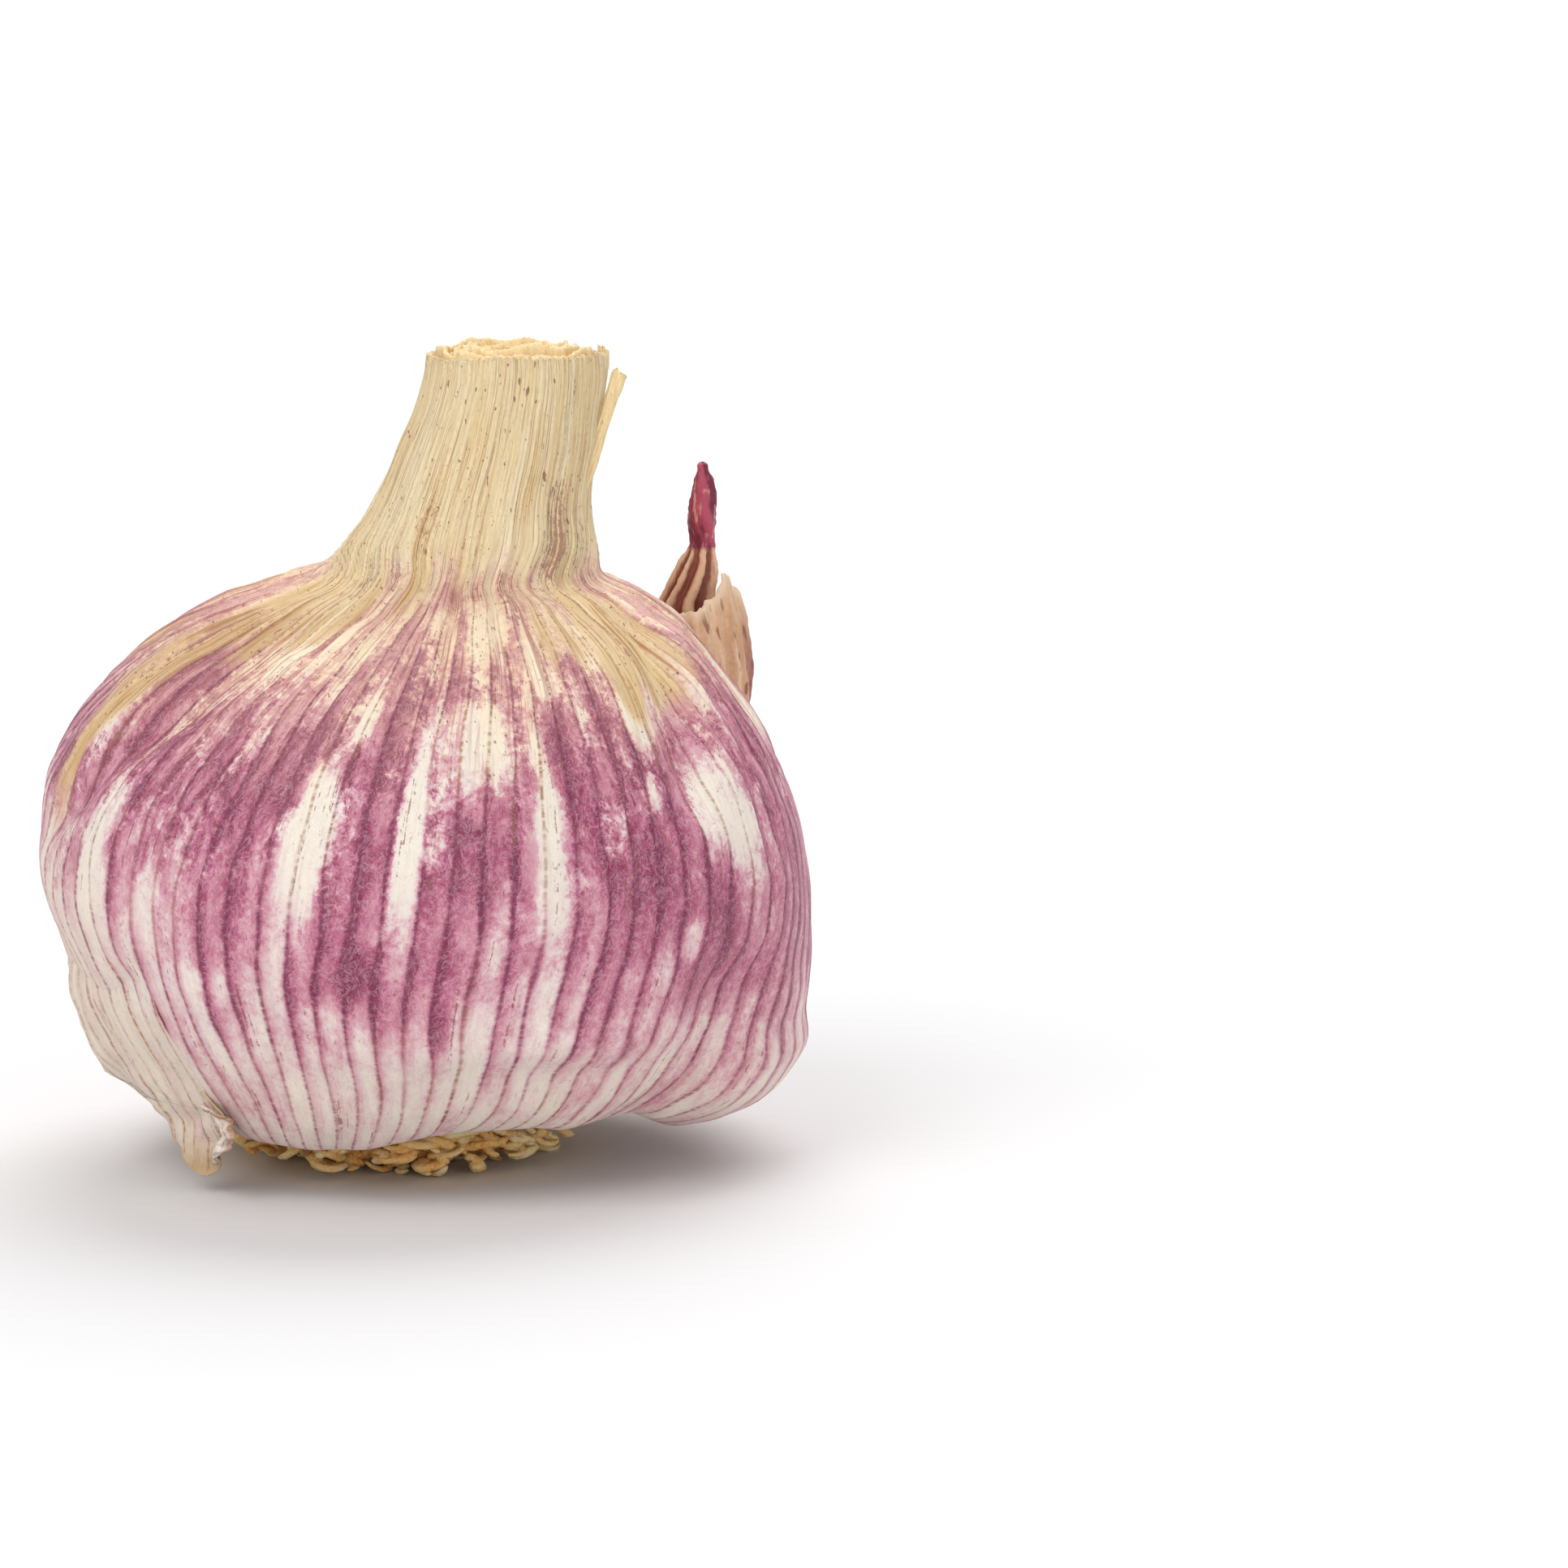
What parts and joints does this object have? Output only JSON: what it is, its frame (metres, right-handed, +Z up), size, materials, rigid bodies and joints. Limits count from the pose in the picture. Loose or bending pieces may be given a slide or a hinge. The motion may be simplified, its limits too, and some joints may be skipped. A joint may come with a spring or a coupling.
{
  "type": "garlic bulb",
  "caption": "Whole purple-striped garlic bulb in papery skin, its neck cut short, standing on its root plate.",
  "frame": {"origin": "middle of the root plate's flat foot, on the surface that the bulb stands on", "axes": "+Z up along the bulb towards its neck, +X to the right with the loose skin flap at the front left, +Y towards the back"},
  "size_m": [0.0601, 0.0572, 0.0636],
  "materials": {
    "striped_skin": "dry papery skin, cream with purple streaks and fine veins, low satin sheen",
    "pale_skin": "loose cream outer skin, dry and thin, brown at its torn edge",
    "neck_sheath": "dry fibrous leaf sheath, straw coloured, matte",
    "roots": "dry corky plate with a tangle of cut brown rootlets, matte",
    "husk": "torn papery husk, tan with pink veins and dark flecks",
    "purple_tip": "shrivelled leaf end, dark magenta, faint sheen"
  },
  "bodies": {
    "root": {"wrapped_bulb": "striped_skin", "root_plate": "roots", "loose_skin_flap": "pale_skin", "torn_husk": "husk", "shrivelled_tip": "purple_tip", "neck_splinter": "neck_sheath", "neck_sheath_1": "neck_sheath", "neck_sheath_2": "neck_sheath", "neck_sheath_3": "neck_sheath", "rolled_leaf": "neck_sheath"}
  },
  "joints": []
}
